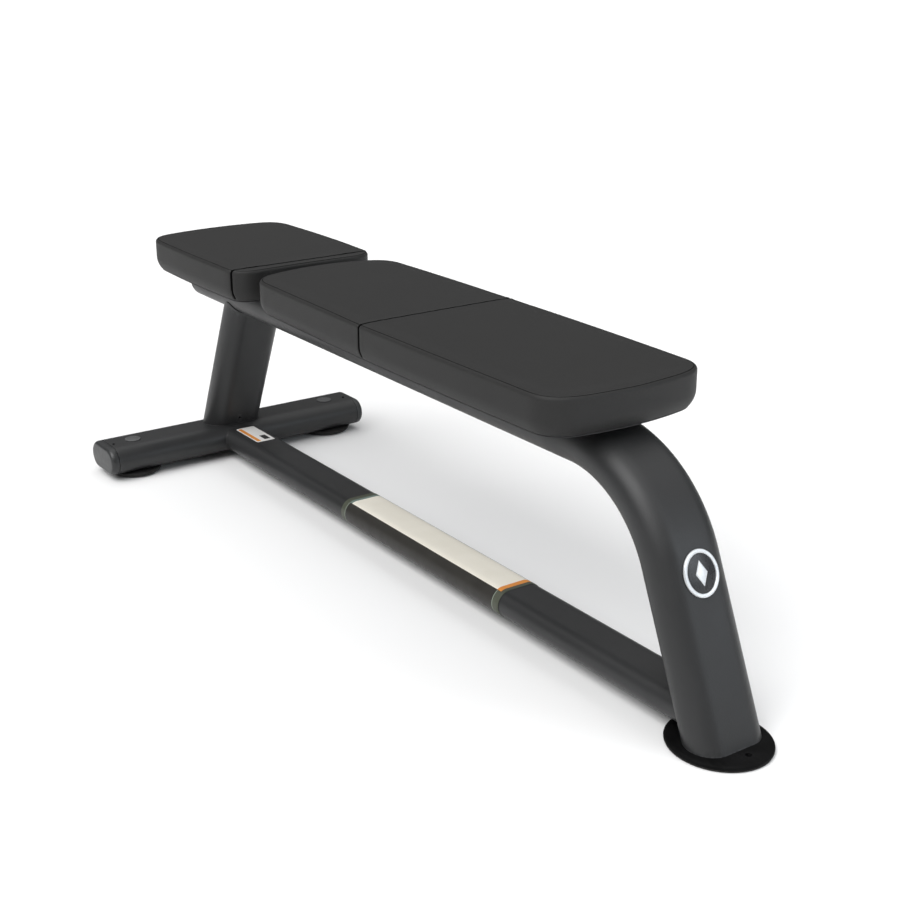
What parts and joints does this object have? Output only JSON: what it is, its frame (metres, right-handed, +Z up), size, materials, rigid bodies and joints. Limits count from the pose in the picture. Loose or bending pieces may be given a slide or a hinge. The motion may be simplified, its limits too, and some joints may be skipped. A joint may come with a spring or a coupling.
{
  "type": "flat weight bench",
  "caption": "Fixed flat gym bench with a long main pad, a short head pad, a bent oval main tube, a raked rear leg and a low stretcher.",
  "frame": {"origin": "on the floor, in the middle of the footprint's length and width", "axes": "+Z up, +X along the bench from the head end towards the bent front leg, Y across the bench"},
  "size_m": [1.498, 0.55, 0.44],
  "materials": {
    "powder_coat": "satin anthracite powder coat",
    "black_steel": "satin black paint",
    "rubber": "matt",
    "cap_plastic": "satin moulded",
    "plug_plastic": "satin moulded",
    "vinyl": "fine-grained upholstery vinyl",
    "board": "raw plywood",
    "zinc_steel": "zinc plated",
    "badge": "satin cast",
    "wrap_film": "printed film, satin",
    "label_film": "printed film, satin"
  },
  "bodies": {
    "root": {"main_frame_tube": "powder_coat", "rear_leg_tube": "powder_coat", "rear_cross_tube": "powder_coat", "lower_stretcher_tube": "powder_coat", "front_foot_plate": "black_steel", "end_cap_screw_left": "black_steel", "end_cap_screw_right": "black_steel", "front_foot_plate_pad": "rubber", "rubber_foot_left": "rubber", "rubber_foot_right": "rubber", "cross_tube_end_cap_left": "cap_plastic", "cross_tube_end_cap_right": "cap_plastic", "main_tube_end_cap": "cap_plastic", "main_pad_base_cover": "cap_plastic", "head_pad_base_cover": "cap_plastic", "access_plug_left": "plug_plastic", "access_plug_right": "plug_plastic", "main_pad_cushion": "vinyl", "head_pad_cushion": "vinyl", "main_pad_board": "board", "head_pad_board": "board", "main_pad_mount_plate_1": "powder_coat", "main_pad_mount_plate_2": "powder_coat", "head_pad_mount_plate_1": "powder_coat", "foot_bolt_left": "zinc_steel", "foot_washer_left": "zinc_steel", "foot_nut_left": "zinc_steel", "foot_bolt_right": "zinc_steel", "foot_washer_right": "zinc_steel", "foot_nut_right": "zinc_steel", "main_pad_bolt_1": "zinc_steel", "main_pad_washer_1": "zinc_steel", "main_pad_tee_nut_1": "zinc_steel", "main_pad_bolt_2": "zinc_steel", "main_pad_washer_2": "zinc_steel", "main_pad_tee_nut_2": "zinc_steel", "main_pad_bolt_3": "zinc_steel", "main_pad_washer_3": "zinc_steel", "main_pad_tee_nut_3": "zinc_steel", "main_pad_bolt_4": "zinc_steel", "main_pad_washer_4": "zinc_steel", "main_pad_tee_nut_4": "zinc_steel", "head_pad_bolt_1": "zinc_steel", "head_pad_washer_1": "zinc_steel", "head_pad_tee_nut_1": "zinc_steel", "head_pad_bolt_2": "zinc_steel", "head_pad_washer_2": "zinc_steel", "head_pad_tee_nut_2": "zinc_steel", "leg_badge": "badge", "stretcher_wrap": "wrap_film", "stretcher_label": "label_film"}
  },
  "joints": []
}
